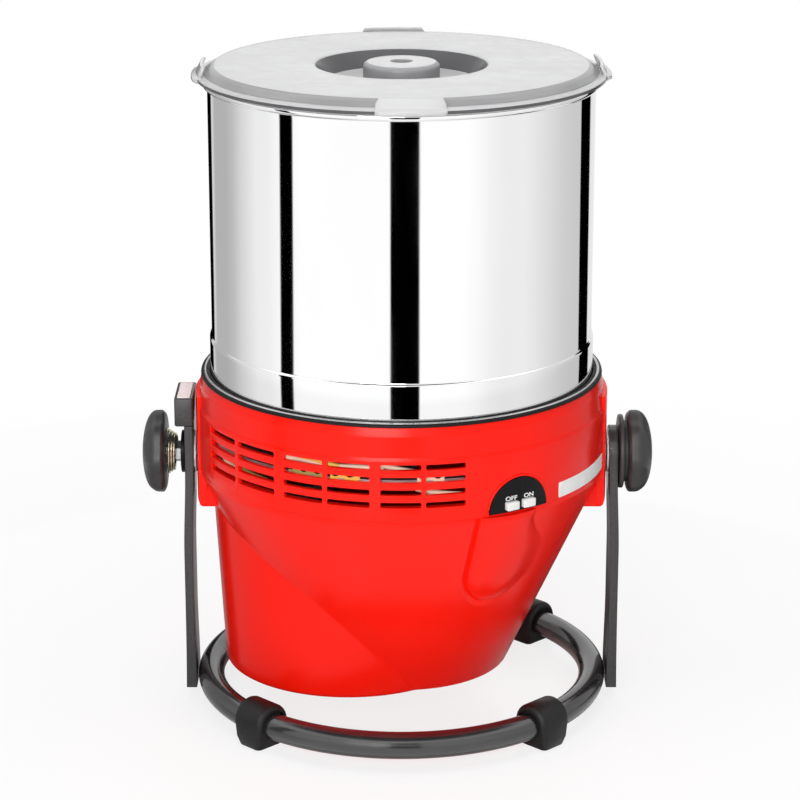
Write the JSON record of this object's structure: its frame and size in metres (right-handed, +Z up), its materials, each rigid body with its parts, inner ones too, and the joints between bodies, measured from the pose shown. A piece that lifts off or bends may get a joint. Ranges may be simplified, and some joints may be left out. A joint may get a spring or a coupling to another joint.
{
  "type": "chocolate stone grinder",
  "caption": "Tilting tabletop stone grinder: steel drum with clear lid, granite rollers on a granite base, belt-driven housing hung between uprights on a ring stand.",
  "frame": {"origin": "on the drum's upright axis, at the table that the rubber feet stand on", "axes": "+Z up along the drum's axis, -Y forward to the switch side, +X to the right of someone facing the switch, along the tilt axis"},
  "size_m": [0.3122, 0.253, 0.3968],
  "materials": {
    "red_housing": "gloss",
    "dark_coating": "satin",
    "foot_rubber": "matte",
    "soft_rubber": "matte",
    "pale_pad": "satin",
    "mirror_steel": "polished",
    "steel": "satin",
    "yellow_zinc": "satin",
    "knob_grey": "satin",
    "black_plastic": "satin",
    "white_plastic": "satin",
    "pale_grey_plastic": "satin",
    "clear_plastic": "gloss",
    "granite": "satin",
    "cast_aluminium": "satin",
    "copper": "satin",
    "laminations": "satin",
    "acetal": "satin"
  },
  "bodies": {
    "stand": {"stand_ring": "dark_coating", "foot_front_right": "foot_rubber", "foot_rear_right": "foot_rubber", "foot_rear_left": "foot_rubber", "foot_front_left": "foot_rubber", "upright_left": "dark_coating", "upright_right": "dark_coating", "stop_block": "dark_coating", "stop_block_pad": "pale_pad", "pivot_bush_left": "white_plastic", "pivot_bush_right": "white_plastic", "clamp_washer_left": "dark_coating"},
    "housing": {"upper_housing": "red_housing", "lower_housing": "red_housing", "dust_seal": "soft_rubber", "switch_panel": "black_plastic", "switch_body": "black_plastic", "cord_gland": "soft_rubber", "chassis": "cast_aluminium", "centre_shaft": "steel", "motor_stator": "laminations", "motor_end_shield": "cast_aluminium", "motor_stud_front": "steel", "motor_stud_rear": "steel", "windings_upper": "copper", "windings_lower": "copper", "drive_belt": "soft_rubber", "pivot_stud_left": "steel", "pivot_stud_right": "steel", "thrust_washer_left": "white_plastic", "thrust_washer_right": "white_plastic", "stud_nut_left": "steel", "lock_spring": "yellow_zinc", "roller_holder": "acetal", "roller_axle_left": "steel", "roller_axle_right": "steel", "scraper": "acetal", "tension_spring": "steel"},
    "drum_group": {"drum": "mirror_steel", "granite_base": "granite", "drum_pillar": "steel", "drum_drive_socket": "cast_aluminium", "drive_pulley": "cast_aluminium", "hub_bearing": "steel"},
    "motor_group": {"motor_rotor": "laminations", "motor_pulley": "cast_aluminium", "cooling_fan": "black_plastic"},
    "roller_left_group": {"roller_left": "granite", "roller_bush_left": "acetal"},
    "roller_right_group": {"roller_right": "granite", "roller_bush_right": "acetal"},
    "top_knob": {"tension_knob": "pale_grey_plastic"},
    "lid_group": {"lid": "clear_plastic"},
    "lock_knob": {"lock_knob_left": "knob_grey"},
    "clamp_knob": {"clamp_knob_right": "knob_grey"},
    "off_key": {"key_off": "white_plastic"},
    "on_key": {"key_on": "white_plastic"}
  },
  "joints": [
    {"name": "body_tilt", "type": "hinge", "parent": "stand", "child": "housing", "pos_m": [0, 0, 0.1565], "axis": [1, 0, 0], "range_deg": [0, 90]},
    {"name": "drum_spin", "type": "hinge", "parent": "housing", "child": "drum_group", "pos_m": [0, 0, 0.2], "axis": [0, 0, 1], "continuous": true},
    {"name": "motor_spin", "type": "hinge", "parent": "housing", "child": "motor_group", "pos_m": [-0.07, 0, 0.124], "axis": [0, 0, 1], "continuous": true},
    {"name": "roller_left_spin", "type": "hinge", "parent": "housing", "child": "roller_left_group", "pos_m": [-0.0595, 0, 0.2712], "axis": [1, 0, 0], "continuous": true},
    {"name": "roller_right_spin", "type": "hinge", "parent": "housing", "child": "roller_right_group", "pos_m": [0.0595, 0, 0.2712], "axis": [1, 0, 0], "continuous": true},
    {"name": "tension_turn", "type": "hinge", "parent": "housing", "child": "top_knob", "pos_m": [0, 0, 0.389], "axis": [0, 0, 1], "range_deg": [-360, 360]},
    {"name": "lid_lift", "type": "slide", "parent": "drum_group", "child": "lid_group", "axis": [0, 0, 1], "range_m": [0, 0.06]},
    {"name": "lock_knob_turn", "type": "hinge", "parent": "housing", "child": "lock_knob", "pos_m": [-0.1507, 0, 0.1565], "axis": [-1, 0, 0], "range_deg": [0, 360]},
    {"name": "clamp_knob_turn", "type": "hinge", "parent": "housing", "child": "clamp_knob", "pos_m": [0.1422, 0, 0.1565], "axis": [1, 0, 0], "range_deg": [0, 360]},
    {"name": "key_off_press", "type": "slide", "parent": "housing", "child": "off_key", "axis": [-0.549, 0.8358, 0], "range_m": [0, 0.0025], "stiffness_N_per_m": 400, "springref_m": -0.001},
    {"name": "key_on_press", "type": "slide", "parent": "housing", "child": "on_key", "axis": [-0.549, 0.8358, 0], "range_m": [0, 0.0025], "stiffness_N_per_m": 400, "springref_m": -0.001}
  ],
  "couplings": [
    {"joint": "motor_spin", "follows": "drum_spin", "ratio": 5.6316},
    {"joint": "roller_left_spin", "follows": "drum_spin", "ratio": -1.3837},
    {"joint": "roller_right_spin", "follows": "drum_spin", "ratio": 1.3837}
  ]
}
